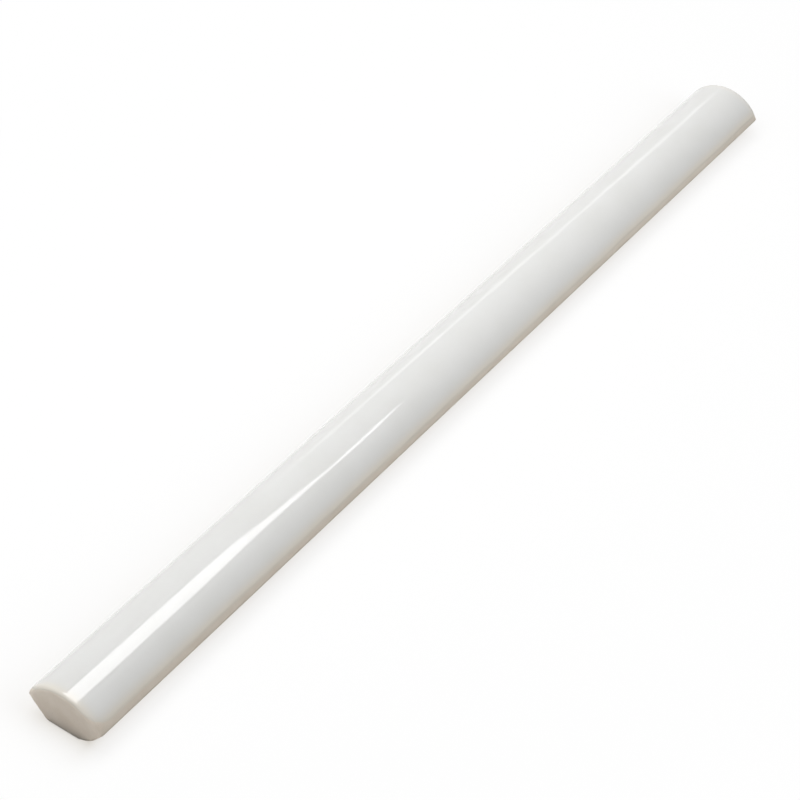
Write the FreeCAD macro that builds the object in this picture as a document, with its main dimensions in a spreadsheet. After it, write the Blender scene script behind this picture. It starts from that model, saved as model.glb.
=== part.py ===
import FreeCAD, Part
import math
import os
import Sketcher
from FreeCAD import Vector

# A bullnose tile: one slim strip of clay, glazed on its crown and fired, lying on its flat back.
# X runs along the tile, Y across it and Z up. The origin is the middle of the back.

# Driving dimensions in millimetres, each with what it measures.
driving_sizes = [
    ("tile_length", 200.0, "from one end face to the other"),
    ("face_width", 15.0, "across the two rounded shoulders, the tile's widest place"),
    ("back_width", 8.2, "flat back, between the lines where the flanks meet it"),
    ("flank_height", 4.2, "from the back up to the centre of each shoulder's round"),
    ("crown_rise", 4.8, "from the shoulders' centres up to the top of the bullnose"),
    ("shoulder_radius", 0.5, "round between the bullnose and each leaning flank"),
    ("back_edge_radius", 1.0, "round along the back's edge on the +Y side"),
    ("soft_edge_radius", 5.5, "much softer round along the back's edge on the -Y side"),
    ("end_arris_radius", 0.8, "softened arris all round each end face"),
]

# Points nearer to a plane than this lie on it.
touching = 1e-6


def make_size_sheet(doc):
    sheet = doc.addObject("Spreadsheet::Sheet", "Sizes")
    for row, (alias, size, meaning) in enumerate(driving_sizes, start=1):
        sheet.set(f"A{row}", alias)
        sheet.set(f"B{row}", str(size))
        sheet.setAlias(f"B{row}", alias)
        sheet.set(f"C{row}", meaning)
    doc.recompute()
    return sheet


def origin_plane(body, role):
    return next(plane for plane in body.Origin.OriginFeatures if plane.Role == role)


# The section is closed by a flat back, two flanks that lean outwards, two rounded shoulders and
# one arc over the crown. The crown's arc and the flanks run into the shoulders without a corner.
def draw_section(sketch, sheet):
    back_half = sheet.back_width / 2
    shoulder = sheet.shoulder_radius
    shoulder_y = sheet.face_width / 2 - shoulder
    shoulder_z = sheet.flank_height
    rise = sheet.crown_rise

    # The crown's circle reaches the top and holds both shoulder circles, touching each from within.
    crown = (shoulder_y ** 2 + rise ** 2 - shoulder ** 2) / (2 * (rise - shoulder))
    crown_z = shoulder_z + rise - crown
    crown_end = math.atan2(shoulder_z - crown_z, shoulder_y)

    # Each flank is the line from the back's edge that touches the shoulder's circle from outside.
    reach = math.hypot(shoulder_y - back_half, shoulder_z)
    lean = math.atan2(shoulder_y - back_half, shoulder_z) + math.asin(shoulder / reach)
    flank = math.sqrt(reach ** 2 - shoulder ** 2)
    flank_y = back_half + flank * math.sin(lean)
    flank_z = flank * math.cos(lean)

    normal = Vector(0, 0, 1)
    right_circle = Part.Circle(Vector(shoulder_y, shoulder_z, 0), normal, shoulder)
    left_circle = Part.Circle(Vector(-shoulder_y, shoulder_z, 0), normal, shoulder)
    crown_circle = Part.Circle(Vector(0, crown_z, 0), normal, crown)
    left_edge = Vector(-back_half, 0, 0)
    right_edge = Vector(back_half, 0, 0)

    back = sketch.addGeometry(Part.LineSegment(left_edge, right_edge))
    right_flank = sketch.addGeometry(Part.LineSegment(right_edge, Vector(flank_y, flank_z, 0)))
    right_round = sketch.addGeometry(Part.ArcOfCircle(right_circle, -lean, crown_end))
    crown_arc = sketch.addGeometry(Part.ArcOfCircle(crown_circle, crown_end, math.pi - crown_end))
    left_round = sketch.addGeometry(Part.ArcOfCircle(left_circle, math.pi - crown_end, math.pi + lean))
    left_flank = sketch.addGeometry(Part.LineSegment(Vector(-flank_y, flank_z, 0), left_edge))
    top = sketch.addGeometry(Part.Point(Vector(0, shoulder_z + rise, 0)), True)

    # How a sketch numbers a curve's points and its own two axes.
    start, end, centre = 1, 2, 3
    floor_line, middle_line = -1, -2

    sketch.addConstraint([
        Sketcher.Constraint("Coincident", back, end, right_flank, start),
        Sketcher.Constraint("Tangent", right_flank, end, right_round, start),
        Sketcher.Constraint("Tangent", right_round, end, crown_arc, start),
        Sketcher.Constraint("Tangent", crown_arc, end, left_round, start),
        Sketcher.Constraint("Tangent", left_round, end, left_flank, start),
        Sketcher.Constraint("Coincident", left_flank, end, back, start),
        Sketcher.Constraint("PointOnObject", back, start, floor_line),
        Sketcher.Constraint("Symmetric", back, start, back, end, middle_line),
        Sketcher.Constraint("Symmetric", right_round, centre, left_round, centre, middle_line),
        Sketcher.Constraint("Equal", right_round, left_round),
        Sketcher.Constraint("PointOnObject", top, start, middle_line),
        Sketcher.Constraint("PointOnObject", top, start, crown_arc),
    ])

    dimensions = [
        ("back_width", "Sizes.back_width",
         Sketcher.Constraint("DistanceX", back, start, back, end, sheet.back_width)),
        ("shoulder_spacing", "Sizes.face_width - 2 * Sizes.shoulder_radius",
         Sketcher.Constraint("DistanceX", left_round, centre, right_round, centre, 2 * shoulder_y)),
        ("flank_height", "Sizes.flank_height",
         Sketcher.Constraint("DistanceY", back, end, right_round, centre, shoulder_z)),
        ("shoulder_radius", "Sizes.shoulder_radius",
         Sketcher.Constraint("Radius", right_round, shoulder)),
        ("crown_rise", "Sizes.crown_rise",
         Sketcher.Constraint("DistanceY", right_round, centre, top, start, rise)),
    ]
    for name, expression, constraint in dimensions:
        sketch.renameConstraint(sketch.addConstraint(constraint), name)
        sketch.setExpression(f"Constraints.{name}", expression)


# The names of a solid's edges whose end points pass a test.
def edge_names(solid, test):
    names = []
    for number, edge in enumerate(solid.Edges, start=1):
        if test([vertex.Point for vertex in edge.Vertexes]):
            names.append(f"Edge{number}")
    return names


def lies_across(points):
    return abs(points[0].x - points[-1].x) < touching


def lies_along_back(points):
    return not lies_across(points) and all(abs(point.z) < touching for point in points)


def is_crisp_edge(points):
    return lies_along_back(points) and points[0].y > 0


def is_soft_edge(points):
    return lies_along_back(points) and points[0].y < -touching


def make_bullnose_tile(doc, sheet):
    body = doc.addObject("PartDesign::Body", "BullnoseTile")
    body.Label = "bullnose_tile"

    section = body.newObject("Sketcher::SketchObject", "Section")
    section.AttachmentSupport = (origin_plane(body, "YZ_Plane"), [""])
    section.MapMode = "FlatFace"
    draw_section(section, sheet)

    strip = body.newObject("PartDesign::Pad", "Strip")
    strip.Profile = section
    strip.SideType = "Symmetric"
    strip.setExpression("Length", "Sizes.tile_length")
    doc.recompute()

    soft_edge = body.newObject("PartDesign::Fillet", "SoftBackEdge")
    soft_edge.Base = (strip, edge_names(strip.Shape, is_soft_edge))
    soft_edge.setExpression("Radius", "Sizes.soft_edge_radius")
    doc.recompute()

    crisp_edge = body.newObject("PartDesign::Fillet", "CrispBackEdge")
    crisp_edge.Base = (soft_edge, edge_names(soft_edge.Shape, is_crisp_edge))
    crisp_edge.setExpression("Radius", "Sizes.back_edge_radius")
    doc.recompute()

    end_arrises = body.newObject("PartDesign::Fillet", "EndArrises")
    end_arrises.Base = (crisp_edge, edge_names(crisp_edge.Shape, lies_across))
    end_arrises.setExpression("Radius", "Sizes.end_arris_radius")

    body.Placement = FreeCAD.Placement()
    return body


def check_document(doc, bodies):
    for item in doc.Objects:
        if "Invalid" in item.State or "Error" in item.State:
            raise RuntimeError(f"{item.Label} did not build: {item.State}")
    for body in bodies:
        if body.Shape.isNull() or not body.Shape.isValid():
            raise RuntimeError(f"{body.Label} has no valid shape")


def main():
    doc = FreeCAD.newDocument("BullnoseTile")
    sheet = make_size_sheet(doc)
    bodies = [make_bullnose_tile(doc, sheet)]
    doc.recompute()
    check_document(doc, bodies)

    os.makedirs("parts", exist_ok=True)
    for body in bodies:
        body.Shape.exportStep(f"parts/{body.Label}.step")
        box = body.Shape.optimalBoundingBox()
        size = f"{box.XLength:.2f} x {box.YLength:.2f} x {box.ZLength:.2f} mm"
        print(f"{body.Label}: {size}, {body.Shape.Volume / 1000:.2f} cm3")


main()
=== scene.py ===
import math
from collections import namedtuple

import bpy
import numpy as np
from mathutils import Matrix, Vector, noise


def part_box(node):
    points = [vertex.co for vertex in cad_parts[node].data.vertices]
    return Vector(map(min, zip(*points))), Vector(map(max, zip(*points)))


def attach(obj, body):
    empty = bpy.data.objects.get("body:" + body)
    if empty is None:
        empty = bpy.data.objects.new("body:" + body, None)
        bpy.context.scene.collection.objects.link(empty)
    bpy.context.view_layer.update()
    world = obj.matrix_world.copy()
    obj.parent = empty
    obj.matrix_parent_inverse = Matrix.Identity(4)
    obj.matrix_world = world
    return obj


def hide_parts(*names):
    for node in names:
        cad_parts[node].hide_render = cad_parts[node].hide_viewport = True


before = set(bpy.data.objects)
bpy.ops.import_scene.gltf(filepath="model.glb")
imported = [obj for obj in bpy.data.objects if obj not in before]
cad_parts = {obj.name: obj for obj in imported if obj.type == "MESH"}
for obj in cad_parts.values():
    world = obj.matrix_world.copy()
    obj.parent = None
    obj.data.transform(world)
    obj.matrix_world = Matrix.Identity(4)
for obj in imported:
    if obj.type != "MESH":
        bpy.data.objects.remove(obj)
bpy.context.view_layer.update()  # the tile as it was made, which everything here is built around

# Everything is in metres. X runs along the tile, Y across it and Z up from its flat back.
# The camera stands past the -X end on the -Y side, so those are the near end and the near side.
mm = 0.001


# Shader maths reads as plain expressions on these: each wraps one output socket.
class Shade:
    def __init__(self, finish, socket):
        self.finish = finish
        self.socket = socket

    def maths(self, operation, *values):
        return self.finish.node("ShaderNodeMath", {"operation": operation}, dict(enumerate(values)))

    def __add__(self, other):
        return self.maths("ADD", self, other)

    def __radd__(self, other):
        return self.maths("ADD", other, self)

    def __sub__(self, other):
        return self.maths("SUBTRACT", self, other)

    def __rsub__(self, other):
        return self.maths("SUBTRACT", other, self)

    def __mul__(self, other):
        return self.maths("MULTIPLY", self, other)

    def __rmul__(self, other):
        return self.maths("MULTIPLY", other, self)

    def __truediv__(self, other):
        return self.maths("DIVIDE", self, other)

    def __rtruediv__(self, other):
        return self.maths("DIVIDE", other, self)

    def above(self, low):  # how far it is above a value, or else 0
        return self.maths("MAXIMUM", self - low, 0.0)

    def below(self, high):  # how far it is below a value, or else 0
        return self.maths("MAXIMUM", high - self, 0.0)

    def output(self, name):  # another output of the same node
        return Shade(self.finish, self.socket.node.outputs[name])


# One node tree, of a material or of the world. Every node in it comes from node().
class Finish:
    def __init__(self, owner):
        owner.use_nodes = True
        self.owner = owner
        self.tree = owner.node_tree
        self.tree.nodes.clear()

    def node(self, kind, settings=None, sockets=None):
        made = self.tree.nodes.new(kind)
        for name, value in (settings or {}).items():
            setattr(made, name, value)
        for name, value in (sockets or {}).items():
            if isinstance(value, Shade):
                self.tree.links.new(value.socket, made.inputs[name])
            else:
                made.inputs[name].default_value = value
        return Shade(self, made.outputs[0]) if made.outputs else made

    def mixColour(self, amount, first, second):
        factor, one, other, result = 0, 6, 7, 2  # the Mix node's sockets for colours
        sockets = {factor: amount, one: first, other: second}
        mixed = self.node("ShaderNodeMix", {"data_type": "RGBA"}, sockets)
        return Shade(self, mixed.socket.node.outputs[result])

    def grain(self, place, size, detail=2.0, roughness=0.5):
        # noise from 0 to 1 whose lumps are about this size
        sockets = {"Vector": place, "Scale": 1 / size, "Detail": detail, "Roughness": roughness}
        return self.node("ShaderNodeTexNoise", {}, sockets)

    def fromTo(self, value, low, high):
        # 0 below low and 1 above high, with an even slope between
        sockets = {"Value": value, "From Min": low, "From Max": high}
        return self.node("ShaderNodeMapRange", {"clamp": True}, sockets)

    def finishWith(self, shader, target="ShaderNodeOutputMaterial"):
        self.node(target, {}, {"Surface": shader})
        return self.owner


def smooth(value, low, high):
    # 0 below low and 1 above high, with a soft start and end between
    share = np.clip((value - low) / (high - low), 0, 1)
    return share * share * (3 - 2 * share)


def between(first, second, share):
    return first + (second - first) * share


def bell(distance, reach):
    return np.exp(-(distance / reach) ** 2)


# What the frame doesn't give of the tile's section, how the glaze lies on it, and its mesh.
tile = {
    "node": "bullnose_tile",
    "backWidth": 8.2 * mm,
    "flankHeight": 4.2 * mm,  # from the back up to the centre of each shoulder's round
    "shoulderRadius": 0.5 * mm,
    "crispEdgeRadius": 1.0 * mm,  # round along the back's edge on the far side
    "softEdgeRadius": 5.5 * mm,  # and on the near side
    "endArrisRadius": 0.8 * mm,
    "glazeThickness": 0.07 * mm,
    "nearSideAngle": math.radians(59.6),  # how far down from the top the glaze runs
    "farSideAngle": math.radians(66),
    "endAngle": math.radians(80),  # how far it runs round the arris of each end
    "nearEndCorner": 3.9 * mm,  # round where the glaze's side line meets its end line
    "farEndCorner": 2.0 * mm,
    "nearEndRise": 0.3 * mm,  # the near side's line is this much higher at the near end
    "riseLength": 60 * mm,
    "edgeBelow": 0.15 * mm,  # the mesh is fine from this far below the glaze's line
    "edgeAbove": 0.8 * mm,  # to this far above it, and there it follows the line
    "stillBelow": 1.4 * mm,  # this far below the line the mesh stays where it is
    "stillAbove": 3 * mm,  # and this far above it
    "sectionSteps": (8, 10, 12, 12, 12, 20),  # back, its edge, flank, shoulder, line and crown
    "ringSpacing": 0.5 * mm,
    "arrisRings": 14,
    "faceShrink": (0.94, 0.85, 0.73, 0.6, 0.46, 0.31, 0.16),  # rings on the flat end faces
    "insetSamples": 700,  # points on each half from which an inset is worked out
    "edgeOn": 1e-6,  # a direction that faces a point less than this never meets it
}

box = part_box(tile["node"])
tileLength, faceWidth, tileHeight = box[1] - box[0]


# Each half of the section runs from the middle of the back up to the top of the crown, in
# straight and round stretches. Each is its length and a function from the distance along it to
# a point and its outward normal.
def straight(start, angle, length):
    along = np.array([math.cos(angle), math.sin(angle)])
    outward = np.array([along[1], -along[0]])

    def at(distance):
        return start + distance[:, None] * along, np.tile(outward, (len(distance), 1))

    return length, at


def rounded(centre, radius, start, end):
    def at(distance):
        angle = start + distance / radius
        outward = np.column_stack([np.cos(angle), np.sin(angle)])
        return centre + radius * outward, outward

    return radius * (end - start), at


class Half:
    def __init__(self, sign, backEdge, glazeAngle):
        self.sign = sign
        halfBack = tile["backWidth"] / 2
        shoulder = tile["shoulderRadius"]
        centreY = faceWidth / 2 - shoulder
        centreZ = tile["flankHeight"]
        rise = tileHeight - centreZ
        crown = (centreY ** 2 + rise ** 2 - shoulder ** 2) / (2 * (rise - shoulder))
        crownZ = tileHeight - crown
        crownStart = math.atan2(centreZ - crownZ, centreY)
        reach = math.hypot(centreY - halfBack, centreZ)
        lean = math.atan2(centreY - halfBack, centreZ) + math.asin(shoulder / reach)
        flankAngle = math.pi / 2 - lean
        cut = backEdge * math.tan(flankAngle / 2)  # what the edge's round takes off back and flank
        flankLength = math.sqrt(reach ** 2 - shoulder ** 2) - cut
        flankStart = np.array([halfBack + cut * math.cos(flankAngle), cut * math.sin(flankAngle)])
        edgeCentre = np.array([halfBack - cut, backEdge])
        self.stretches = {
            "back": straight(np.array([0.0, 0.0]), 0.0, halfBack - cut),
            "backEdge": rounded(edgeCentre, backEdge, -math.pi / 2, -lean),
            "flank": straight(flankStart, flankAngle, flankLength),
            "shoulder": rounded(np.array([centreY, centreZ]), shoulder, -lean, crownStart),
            "crown": rounded(np.array([0.0, crownZ]), crown, crownStart, math.pi / 2),
        }
        lengths = [length for length, at in self.stretches.values()]
        self.starts = dict(zip(self.stretches, np.cumsum([0] + lengths)))
        self.length = sum(lengths)
        self.glazeLine = self.length - crown * glazeAngle  # where the glaze stops

    def at(self, distance):
        # points and outward normals at distances along this half
        points = np.zeros((len(distance), 2))
        normals = np.zeros((len(distance), 2))
        for name, (length, at) in self.stretches.items():
            here = distance >= self.starts[name]
            points[here], normals[here] = at(distance[here] - self.starts[name])
        return points * [self.sign, 1], normals * [self.sign, 1]

    def stops(self):
        # where the mesh has points, closest together over the glaze's edge
        line = self.glazeLine
        marks = [self.starts[name] for name in ("back", "backEdge", "flank", "shoulder")]
        marks += [line - tile["edgeBelow"], line + tile["edgeAbove"], self.length]
        runs = zip(marks, marks[1:], tile["sectionSteps"])
        stops = [np.linspace(low, high, steps, endpoint=False) for low, high, steps in runs]
        return np.append(np.concatenate(stops), self.length)


farHalf = Half(1, tile["crispEdgeRadius"], tile["farSideAngle"])
nearHalf = Half(-1, tile["softEdgeRadius"], tile["nearSideAngle"])


# The glaze's edge wanders a little along the tile, differently on each side and at each end. The
# places are where each looks into the noise.
wander = {
    "amount": 0.13 * mm,
    "length": 9 * mm,
    "place": 0.3,
    "fineAmount": 0.035 * mm,
    "fineLength": 2.2 * mm,
    "finePlace": 7.1,
    "farSidePlace": 1.7,
    "nearSidePlace": 9.2,
    "nearEndPlace": 3.4,
    "farEndPlace": 5.4,
    "endShare": 0.6,  # of what it wanders along the sides
}


def wandering(along, lane):
    broad = noise.noise(Vector((along / wander["length"], lane, wander["place"])))
    fine = noise.noise(Vector((along / wander["fineLength"], lane, wander["finePlace"])))
    return wander["amount"] * broad + wander["fineAmount"] * fine


# The mesh's points round the whole section: up the far half, then down the near half.
class Loop:
    def __init__(self):
        farStops, nearStops = farHalf.stops(), nearHalf.stops()[-2:0:-1]
        self.farCount = len(farStops)
        self.stops = np.concatenate([farStops, nearStops])
        self.size = len(self.stops)
        self.line = self.bySide(nearHalf.glazeLine, farHalf.glazeLine)
        rising = smooth(self.stops, self.line - tile["stillBelow"], self.line - tile["edgeBelow"])
        falling = smooth(self.stops, self.line + tile["edgeAbove"], self.line + tile["stillAbove"])
        self.follows = rising * (1 - falling)  # how fully a point goes along with the line
        across = self.bySide(self.stops - nearHalf.length, farHalf.length - self.stops)
        self.nearEndWander = self.endWander(across, wander["nearEndPlace"])
        self.farEndWander = self.endWander(across, wander["farEndPlace"])

    def bySide(self, near, far):
        return np.where(np.arange(self.size) < self.farCount, far, near)

    def endWander(self, across, lane):
        return np.array([wander["endShare"] * wandering(place, lane) for place in across])

    def at(self, distance):
        farPoints, farNormals = farHalf.at(distance[:self.farCount])
        nearPoints, nearNormals = nearHalf.at(distance[self.farCount:])
        return np.vstack([farPoints, nearPoints]), np.vstack([farNormals, nearNormals])


# A ring of the mesh: where it is along X, how far in from the full section, its shrink on the end
# face, how far its normal has turned to the end, and its distance along the surface from the
# middle.
Ring = namedtuple("Ring", "x inset shrink turn along")


def ringList():
    radius = tile["endArrisRadius"]
    straightEnd = tileLength / 2 - radius
    count = round(2 * straightEnd / tile["ringSpacing"])
    places = np.linspace(-straightEnd, straightEnd, count + 1)
    middle = [Ring(x, 0.0, 1.0, 0.0, abs(x)) for x in places]
    end = []
    for turn in np.linspace(0, math.pi / 2, tile["arrisRings"] + 1)[1:]:
        x = straightEnd + radius * math.sin(turn)
        end.append(Ring(x, radius * (1 - math.cos(turn)), 1.0, turn, straightEnd + radius * turn))
    lastAlong = end[-1].along
    for shrink in tile["faceShrink"]:
        along = lastAlong + (1 - shrink) * tileHeight / 2
        end.append(Ring(tileLength / 2, radius, shrink, math.pi / 2, along))
    near = [ring._replace(x=-ring.x, turn=-ring.turn) for ring in reversed(end)]
    return near + middle + end


def insetReach(centre, directions, inset):
    # how far from the centre each direction meets the section drawn in by the inset
    halves = (farHalf, nearHalf)
    outlines = [half.at(np.linspace(0, half.length, tile["insetSamples"])) for half in halves]
    points = np.vstack([outline[0] for outline in outlines])
    normals = np.vstack([outline[1] for outline in outlines])
    slack = ((points - centre) * normals).sum(1) - inset
    facing = directions @ normals.T
    meets = facing > tile["edgeOn"]
    return np.where(meets, slack / np.maximum(facing, tile["edgeOn"]), np.inf).min(1)


def drawnIn(points, ring):
    # the ring's points moved in over the end's arris and face, and how far in from the arris
    centre = np.array([0.0, tileHeight / 2])
    spokes = points - centre
    spokes /= np.linalg.norm(spokes, axis=1)[:, None]
    reach = insetReach(centre, spokes, ring.inset)
    return centre + spokes * (reach * ring.shrink)[:, None], reach * (1 - ring.shrink)


def arrisAlong(turn):
    # distance along the surface from the middle to where the end's arris has turned this far
    return tileLength / 2 - tile["endArrisRadius"] * (1 - turn)


# How the surfaces depart from true: the glaze lies in slow waves, the bare clay is a little rough.
relief = {
    "waveDepth": 0.016 * mm,
    "waveAlong": 13 * mm,
    "waveAcross": 3.6 * mm,
    "wavePlace": 3.3,
    "clayDepth": 0.014 * mm,
    "clayGrain": 1.1 * mm,
    "beadHeight": 0.012 * mm,  # the glaze's rolled edge stands this much proud of the rest
    "beadPlace": 0.5 * mm,
    "beadWidth": 0.3 * mm,
    "edgeRound": 0.22 * mm,  # how soon the glaze reaches its thickness behind its edge
}


def glazeProfile(inside):
    rising = 1 - np.exp(-np.maximum(inside, 0) / relief["edgeRound"])
    bead = bell(inside - relief["beadPlace"], relief["beadWidth"])
    return tile["glazeThickness"] * rising + relief["beadHeight"] * bead * (inside > 0) * rising


def dips(x, points, covered):
    # how far below true the surface lies at each point
    depths = []
    for (y, z), glazed in zip(points, covered):
        waveAt = (x / relief["waveAlong"], y / relief["waveAcross"], relief["wavePlace"])
        wave = noise.noise(Vector(waveAt))
        clay = noise.noise(Vector((x, y, z)) / relief["clayGrain"])
        depth = glazed * relief["waveDepth"] * (1 - wave)
        depth += (1 - glazed) * relief["clayDepth"] * (1 - clay)
        depths.append(depth / 2)
    return np.array(depths)


# How the glaze thins towards its edge, where the clay warms it, and the haze it leaves beyond.
fade = {
    "coverFrom": -0.03 * mm,  # it starts to cover the clay just outside its edge
    "coverTo": 0.17 * mm,  # and covers it fully from this far inside
    "side": 0.95,  # how much of its depth it loses at its side lines
    "nearSideReach": 1.4 * mm,
    "farSideReach": 0.5 * mm,
    "nearEnd": 0.9,  # and at its end lines
    "farEnd": 0.45,
    "endReach": 1.4 * mm,
    "nearEndHaze": 0.27,
    "farEndHaze": 0.66,
    "hazeTurns": -0.25,  # where along the tile the haze starts to change, as a share of its length
    "hazeReach": 1.2 * mm,
}


def cornered(sideways, endways, radius):
    # distance inside two edges that meet in a round corner
    corner = radius - np.hypot(np.maximum(radius - sideways, 0), np.maximum(radius - endways, 0))
    inCorner = (sideways < radius) & (endways < radius)
    return np.where(inCorner, corner, np.minimum(sideways, endways))


# Painted shade: the clay's colour is darkened where each end turns down to the back, and for a
# little way up the end face, in place of the contact shadow there.
paintedFootShade = {
    "nearSideShare": 1.0,
    "farSideShare": 0.38,
    "nearSideReach": 1.6 * mm,
    "farSideReach": 0.5 * mm,
    "nearSideAt": 8.0 * mm,  # how far out on each side its own values hold
    "farSideAt": 3.5 * mm,
    "endReach": 3 * mm,  # how far from each end it begins
    "facesFrom": 0.66,  # how far the surface has to face down for it to start
    "facesFully": 0.96,
}


# how strongly painted shade darkens each point of the clay near the foot
def paintedFootShadeOf(points, normals, inward, along):
    facesDown = -normals[:, 1] - paintedFootShade["facesFrom"]
    down = np.clip(facesDown / (paintedFootShade["facesFully"] - paintedFootShade["facesFrom"]), 0, 1)
    nearness = smooth(-points[:, 0], -paintedFootShade["farSideAt"], paintedFootShade["nearSideAt"])
    share = between(paintedFootShade["farSideShare"], paintedFootShade["nearSideShare"], nearness)
    reach = between(paintedFootShade["farSideReach"], paintedFootShade["nearSideReach"], nearness)
    atEnd = smooth(along, tileLength / 2 - paintedFootShade["endReach"], tileLength / 2)
    return share * down * np.exp(-inward / reach) * atEnd


# One ring's points, and for each how the clay is covered, how deep the glaze is and how much
# painted shade darkens the foot.
def makeRing(loop, ring):
    def byEnd(near, far):
        return near if ring.x < 0 else far

    rise = 1 - smooth(ring.x + tileLength / 2, 0, tile["riseLength"])
    nearShift = wandering(ring.x, wander["nearSidePlace"]) + tile["nearEndRise"] * rise
    shift = loop.bySide(nearShift, wandering(ring.x, wander["farSidePlace"]))
    distance = loop.stops + shift * loop.follows
    points, normals = loop.at(distance)
    inward = np.zeros(loop.size)
    if ring.inset > 0:
        points, inward = drawnIn(points, ring)

    endLine = arrisAlong(tile["endAngle"])
    sideways = distance - (loop.line + shift)
    endways = endLine + byEnd(loop.nearEndWander, loop.farEndWander) - ring.along
    inside = cornered(sideways, endways, byEnd(tile["nearEndCorner"], tile["farEndCorner"]))
    covered = smooth(inside, fade["coverFrom"], fade["coverTo"])

    hazeTurn = smooth(ring.x, tileLength * fade["hazeTurns"], tileLength / 2)
    haze = between(fade["nearEndHaze"], fade["farEndHaze"], hazeTurn)
    haze = haze * np.exp(np.minimum(inside, 0) / fade["hazeReach"])
    sideReach = loop.bySide(fade["nearSideReach"], fade["farSideReach"])
    deep = 1 - fade["side"] * bell(np.maximum(sideways, 0), sideReach)
    endFade = byEnd(fade["nearEnd"], fade["farEnd"])
    deep *= 1 - endFade * bell(np.maximum(endways, 0), fade["endReach"])

    # the glaze fills up to the solid's surface, so the clay under it and beside it lies lower
    lower = smooth(distance, loop.line - tile["stillBelow"], loop.line)
    lower *= smooth(-ring.along, -arrisAlong(math.pi / 2), -endLine)
    lift = glazeProfile(inside) - lower * tile["glazeThickness"] - dips(ring.x, points, covered)
    sinTurn, cosTurn = math.sin(ring.turn), math.cos(ring.turn)
    outward = np.column_stack([np.full(loop.size, sinTurn), normals * cosTurn])
    vertices = np.column_stack([np.full(loop.size, ring.x), points]) + outward * lift[:, None]
    foot = paintedFootShadeOf(points, normals, inward, ring.along)
    return vertices, np.maximum(covered, haze), deep * covered, foot


def tileFaces(ringSize, ringCount):
    # the rings joined in turn, and the first and last closed to a tip, whose points come last
    nearTip, farTip = ringSize * ringCount, ringSize * ringCount + 1
    lastRing = ringSize * (ringCount - 1)
    faces = []
    for place in range(ringSize):
        following = (place + 1) % ringSize
        faces.append((nearTip, following, place))
        faces.append((farTip, lastRing + place, lastRing + following))
        for here in range(0, lastRing, ringSize):
            ahead = here + ringSize
            faces.append((here + place, here + following, ahead + following, ahead + place))
    return faces


def makeTile():
    loop = Loop()
    rings = [makeRing(loop, ring) for ring in ringList()]
    ringPoints, covers, depths, feet = zip(*rings)
    tips = [ringPoints[0].mean(0), ringPoints[-1].mean(0)]
    vertices = np.clip(np.vstack([*ringPoints, *tips]), box[0], box[1])

    mesh = bpy.data.meshes.new("firedTile")
    mesh.from_pydata(vertices.tolist(), [], tileFaces(loop.size, len(rings)))
    for name, values in (("glazeCover", covers), ("glazeDepth", depths), ("paintedFootShade", feet)):
        layer = mesh.attributes.new(name, "FLOAT", "POINT")
        withTips = np.append(np.concatenate(values), [0, 0])
        layer.data.foreach_set("value", withTips.astype(np.float32))
    mesh.shade_smooth()
    mesh.update()
    made = bpy.data.objects.new("fired_tile", mesh)
    bpy.context.scene.collection.objects.link(made)
    return made


# Opaque white glaze over beige fired clay. Where the glaze is thin the clay warms it to cream.
firedLook = {
    "glaze": (0.80, 0.80, 0.785, 1),
    "glazeShade": (0.785, 0.785, 0.765, 1),
    "thinGlaze": (0.835, 0.775, 0.67, 1),
    "glazeRoughness": 0.06,
    "glazeRoughnessSpread": 0.02,
    "toneSize": 7 * mm,  # the slow shift between the two glazes
    "toneRange": (0.35, 0.65),
    "rippleSize": 1.8 * mm,
    "rippleHeight": 0.12,
    "clay": (0.76, 0.668, 0.562, 1),
    "clayPale": (0.80, 0.715, 0.615, 1),
    "clayDark": (0.62, 0.54, 0.45, 1),
    "paintedFootShadeColour": (0.30, 0.27, 0.235, 1),  # painted shade where the back's edges meet the floor
    "clayRoughness": 0.82,
    "clayRoughnessSpread": 0.12,
    "mottleSize": 2.6 * mm,
    "mottleRange": (0.35, 0.65),
    "grainSize": 0.22 * mm,
    "grainRange": (0.3, 0.7),
    "grainDarkens": 0.12,
    "grainHeight": 0.6,
    "lumpSize": 0.6 * mm,
    "pitSpacing": 0.9 * mm,
    "pitRange": (0.05, 0.16),  # from a pit's middle to its rim, of the spacing
    "pitDarkens": 0.45,
    "pitDepth": 0.8,
    "roughnessSize": 1.5 * mm,
    "bumpStrength": 0.6,
    "bumpDistance": 0.02 * mm,
    "refraction": 1.5,
}


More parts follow.
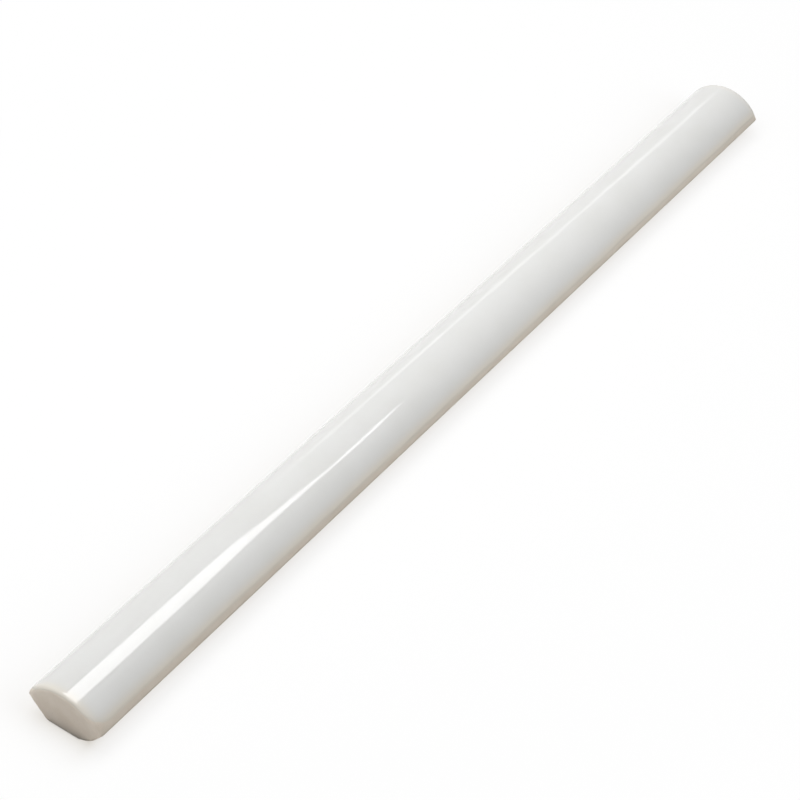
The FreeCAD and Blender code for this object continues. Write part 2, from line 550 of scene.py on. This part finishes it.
def makeFiredLook():
    finish = Finish(bpy.data.materials.new("firedTileLook"))
    place = finish.node("ShaderNodeTexCoord").output("Object")
    cover = finish.node("ShaderNodeAttribute", {"attribute_name": "glazeCover"}).output("Fac")
    depth = finish.node("ShaderNodeAttribute", {"attribute_name": "glazeDepth"}).output("Fac")
    foot = finish.node("ShaderNodeAttribute", {"attribute_name": "paintedFootShade"}).output("Fac")

    # the clay: soft mottling, fine grain and a few dark pits, and painted shade darkening it at its
    # foot
    mottle = finish.grain(place, firedLook["mottleSize"], detail=3.0)
    mottle = finish.fromTo(mottle, *firedLook["mottleRange"])
    fineGrain = finish.grain(place, firedLook["grainSize"], detail=3.0, roughness=0.6)
    darkGrain = finish.fromTo(fineGrain, *firedLook["grainRange"]) * firedLook["grainDarkens"]
    cellSockets = {"Vector": place, "Scale": 1 / firedLook["pitSpacing"]}
    cells = finish.node("ShaderNodeTexVoronoi", {}, cellSockets)
    pits = 1 - finish.fromTo(cells, *firedLook["pitRange"])
    clay = finish.mixColour(mottle, firedLook["clay"], firedLook["clayPale"])
    clay = finish.mixColour(darkGrain, clay, firedLook["clayDark"])
    clay = finish.mixColour(pits * firedLook["pitDarkens"], clay, firedLook["clayDark"])
    # painted shade: the clay is mixed towards a dark colour near the foot, in place of contact
    # shadow
    clay = finish.mixColour(foot, clay, firedLook["paintedFootShadeColour"])

    # the glaze: nearly even, with a slow shift of tone
    tone = finish.grain(place, firedLook["toneSize"])
    tone = finish.fromTo(tone, *firedLook["toneRange"])
    glaze = finish.mixColour(tone, firedLook["glaze"], firedLook["glazeShade"])
    thin = finish.mixColour(depth, firedLook["thinGlaze"], glaze)
    colour = finish.mixColour(cover, clay, thin)

    uneven = finish.grain(place, firedLook["roughnessSize"]) - 0.5
    clayRough = firedLook["clayRoughness"] + uneven * firedLook["clayRoughnessSpread"]
    glazeRough = firedLook["glazeRoughness"] + uneven * firedLook["glazeRoughnessSpread"]
    roughness = clayRough + (glazeRough - clayRough) * cover

    clayHeight = fineGrain * firedLook["grainHeight"] + finish.grain(place, firedLook["lumpSize"])
    clayHeight = clayHeight - pits * firedLook["pitDepth"]
    ripple = finish.grain(place, firedLook["rippleSize"], detail=1.0)
    height = clayHeight * (1 - cover) + ripple * cover * firedLook["rippleHeight"]
    bump = finish.node("ShaderNodeBump", {}, {
        "Height": height,
        "Strength": firedLook["bumpStrength"],
        "Distance": firedLook["bumpDistance"],
    })
    shader = finish.node("ShaderNodeBsdfPrincipled", {}, {
        "Base Color": colour,
        "Roughness": roughness,
        "IOR": firedLook["refraction"],
        "Normal": bump,
    })
    return finish.finishWith(shader)


def addPanel(name, corners, material):
    mesh = bpy.data.meshes.new(name)
    mesh.from_pydata(corners, [], [tuple(range(len(corners)))])
    mesh.materials.append(material)
    made = bpy.data.objects.new(name, mesh)
    bpy.context.scene.collection.objects.link(made)
    return made


def seenDirectly(finish):
    # 1 for rays from the camera, in a reflection or through glass
    path = finish.node("ShaderNodeLightPath")
    seen = path.output("Is Camera Ray") + path.output("Is Glossy Ray")
    total = seen + path.output("Is Transmission Ray")
    return total.maths("MINIMUM", total, 1.0)


def diagonal(one, other):
    return one.maths("SQRT", one * one + other * other)


# White sky. As a light it comes from high past the near end and not from the near side, with a
# little from overhead and from the near side's horizon.
sky = {
    "top": 0.12,
    "horizon": 0.06,
    "horizonPower": 3.0,
    "end": 1.97,
}


def makeSky():
    world = bpy.data.worlds.new("studio")
    bpy.context.scene.world = world
    finish = Finish(world)
    towards = finish.node("ShaderNodeSeparateXYZ", {}, {0: finish.node("ShaderNodeTexCoord")})
    nearEnd = towards.below(0.0)
    nearSide = towards.output("Y").below(0.0)
    high = towards.output("Z").above(0.0)
    low = high.maths("POWER", 1 - high, sky["horizonPower"])
    light = high * sky["top"] + nearSide * low * sky["horizon"]
    light = light + nearEnd * high * (1 - nearSide) * sky["end"]
    seen = seenDirectly(finish)
    sockets = {"Color": (1, 1, 1, 1), "Strength": seen + (1 - seen) * light}
    finish.finishWith(finish.node("ShaderNodeBackground", {}, sockets), "ShaderNodeOutputWorld")


# A pale floor that shows white but keeps the tile's soft shadow, with a painted shadow, a warm dark
# halo, close to the tile. As a light it gives back less close by, which paints shade onto the
# tile's lower parts.
floor = {
    "size": 3.0,
    "albedo": (0.92, 0.92, 0.92, 1),
    # painted shade: close to the tile the floor is nearly black, so it gives back little light to
    # the tile's lower parts
    "paintedCloseShade": (0.05, 0.05, 0.05, 1),
    "closeFrom": 1.0 * mm,
    "closeTo": 10.0 * mm,
    "farSideTurn": 3.0,  # how much sooner that ends on the far side
    "shown": (1.03, 1.03, 1.03, 1),
    # painted shade: the floor's shown colour turns dark where it meets the tile
    "paintedGapShade": (0.12, 0.12, 0.12, 1),
    "shadowShare": 0.09,
    "shadowFrom": 0.04,
    "shadowTo": 0.12,
    # the colour of the painted shadow at its darkest
    "paintedShadowShown": (0.735, 0.70, 0.645, 1),
    "endHalo": 2.1 * mm,  # how soon the painted shadow fades past the ends
    "nearSideHalo": 1.4 * mm,
    "farSideHalo": 4.8 * mm,
    "haloFrom": -4.0 * mm,  # where it starts to fade on the near side, under the overhang
    "restsFrom": -2.2 * mm,  # where the back meets the floor, from the soft edge
    "restsTo": 3.6 * mm,  # to the crisp one
    "contactShare": 0.9,  # how fully the floor shows its own shade where it meets the tile
    "contactFrom": 0.3 * mm,
    "contactTo": 0.7 * mm,
}


def makeFloor():
    finish = Finish(bpy.data.materials.new("paleFloor"))
    point = finish.node("ShaderNodeTexCoord").output("Object")
    place = finish.node("ShaderNodeSeparateXYZ", {}, {0: point})
    along, across = place.maths("ABSOLUTE", place), place.output("Y")
    white = (1, 1, 1, 1)

    away = diagonal(along.above(tileLength / 2), across)
    shadow = 1 - finish.fromTo(away, floor["shadowFrom"], floor["shadowTo"])
    pastEnd = along.above(tileLength / 2 - tile["endArrisRadius"])
    pastNear = across.below(floor["restsFrom"])
    pastFar = across.above(floor["restsTo"])
    gap = diagonal(pastEnd, pastNear + pastFar)
    contact = 1 - finish.fromTo(gap, floor["contactFrom"], floor["contactTo"])
    share = place.maths("MAXIMUM", shadow * floor["shadowShare"], contact * floor["contactShare"])

    # painted shadow: the floor as the camera sees it is darkened close to the tile, fading with
    # distance
    pastOverhang = across.below(floor["haloFrom"])
    sideFade = pastOverhang / floor["nearSideHalo"] + pastFar / floor["farSideHalo"]
    paintedShadow = place.maths("EXPONENT", 0 - diagonal(pastEnd / floor["endHalo"], sideFade))
    opening = diagonal(pastEnd, pastNear + pastFar * floor["farSideTurn"])
    openness = finish.fromTo(opening, floor["closeFrom"], floor["closeTo"])

    paintedShadowColour = finish.mixColour(paintedShadow, white, floor["paintedShadowShown"])
    # painted shade: the bounce colour darkens towards the tile
    bounceColour = finish.mixColour(openness, floor["paintedCloseShade"], floor["albedo"])
    # painted shade: the shown colour darkens at the contact
    shownColour = finish.mixColour(contact, floor["shown"], floor["paintedGapShade"])
    bounce = finish.node("ShaderNodeBsdfDiffuse", {}, {"Color": bounceColour})
    shown = finish.node("ShaderNodeBsdfDiffuse", {}, {"Color": shownColour})
    flat = finish.node("ShaderNodeEmission", {}, {"Color": paintedShadowColour, "Strength": 1.0})
    bright = finish.node("ShaderNodeMixShader", {}, {0: share, 1: flat, 2: shown})
    mixed = finish.node("ShaderNodeMixShader", {}, {0: seenDirectly(finish), 1: bounce, 2: bright})
    half = floor["size"] / 2
    corners = [(-half, -half, 0), (half, -half, 0), (half, half, 0), (-half, half, 0)]
    addPanel("floor", corners, finish.finishWith(mixed))


# A large soft panel overhead gives the broad highlight, one beside it carries that over the near
# end's rim and lights nothing, and a long narrow one behind the tile gives the thin line. Their
# outlines are drawn, to 5 mm, to give the highlights about the shapes they have in the photo. Each
# shows brighter in the glaze than it lights.
softPanel = {
    "height": 0.4,
    "lights": 5.35,
    "shows": 6.8,
    "outline": [
        (-0.15, -0.045), (0.16, -0.045), (0.195, -0.02),  # its near side
        (0.26, -0.065), (0.285, -0.04), (0.27, -0.015), (0.235, -0.015),  # a tongue that tapers
        (0.2, 0.08), (0.195, 0.155), (0.13, 0.18), (-0.15, 0.215),  # its far side
    ],
}
endPanel = {
    "height": 0.4,
    "lights": 0.0,
    "shows": 6.8,
    "outline": [(-0.35, -0.05), (-0.15, -0.045), (-0.15, 0.215), (-0.35, 0.215)],
}
stripPanel = {
    "behind": 0.6,
    "lights": 1.0,
    "shows": 2.4,
    "outline": [
        (0.35, 0.2), (0.44, 0.22), (0.62, 0.315), (0.72, 0.405), (1.1, 0.58),  # its lower edge
        (1.06, 0.74), (0.6, 0.39), (0.42, 0.28),  # its upper edge
    ],
}


def makeLamp(name, corners, look):
    finish = Finish(bpy.data.materials.new(name + "Glow"))
    reflected = finish.node("ShaderNodeLightPath").output("Is Glossy Ray")
    strength = look["lights"] + reflected * (look["shows"] - look["lights"])
    glow = finish.node("ShaderNodeEmission", {}, {"Color": (1, 1, 1, 1), "Strength": strength})
    lamp = addPanel(name, corners, finish.finishWith(glow))
    lamp.visible_camera = False
    lamp.visible_shadow = False
    lamp.visible_diffuse = look["lights"] > 0  # or it would hide the sky behind it


def makeLamps():
    for name, look in (("softPanel", softPanel), ("endPanel", endPanel)):
        makeLamp(name, [(x, y, look["height"]) for x, y in look["outline"]], look)
    upright = [(x, stripPanel["behind"], z) for x, z in stripPanel["outline"]]
    makeLamp("stripPanel", upright, stripPanel)


camera = {
    "azimuth": math.radians(-54.039),
    "elevation": math.radians(41.764),
    "aim": (-0.00840, 0.00357, 0.00002),
    "distance": 0.40091,
    "lens": 101.62,
    "sensor": 36.0,
    "clipStart": 0.01,
}


def makeCamera():
    data = bpy.data.cameras.new("camera")
    data.lens = camera["lens"]
    data.sensor_width = camera["sensor"]
    data.sensor_fit = "HORIZONTAL"
    data.clip_start = camera["clipStart"]
    made = bpy.data.objects.new("camera", data)
    level = math.cos(camera["elevation"])
    look = Vector((
        -math.sin(camera["azimuth"]) * level,
        math.cos(camera["azimuth"]) * level,
        -math.sin(camera["elevation"]),
    ))
    made.location = Vector(camera["aim"]) - look * camera["distance"]
    made.rotation_euler = look.to_track_quat("-Z", "Y").to_euler()
    bpy.context.scene.collection.objects.link(made)
    bpy.context.scene.camera = made


makeCamera()
print("camera placed")
makeSky()
makeFloor()
makeLamps()
print("floor, sky and lamps made")

firedTile = makeTile()
firedTile.data.materials.append(makeFiredLook())
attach(firedTile, "root")
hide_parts(tile["node"])
tileMesh = firedTile.data
print("fired tile made:", len(tileMesh.vertices), "points,", len(tileMesh.polygons), "faces")

bpy.context.scene.view_settings.view_transform = "Standard"

bpy.context.view_layer.update()
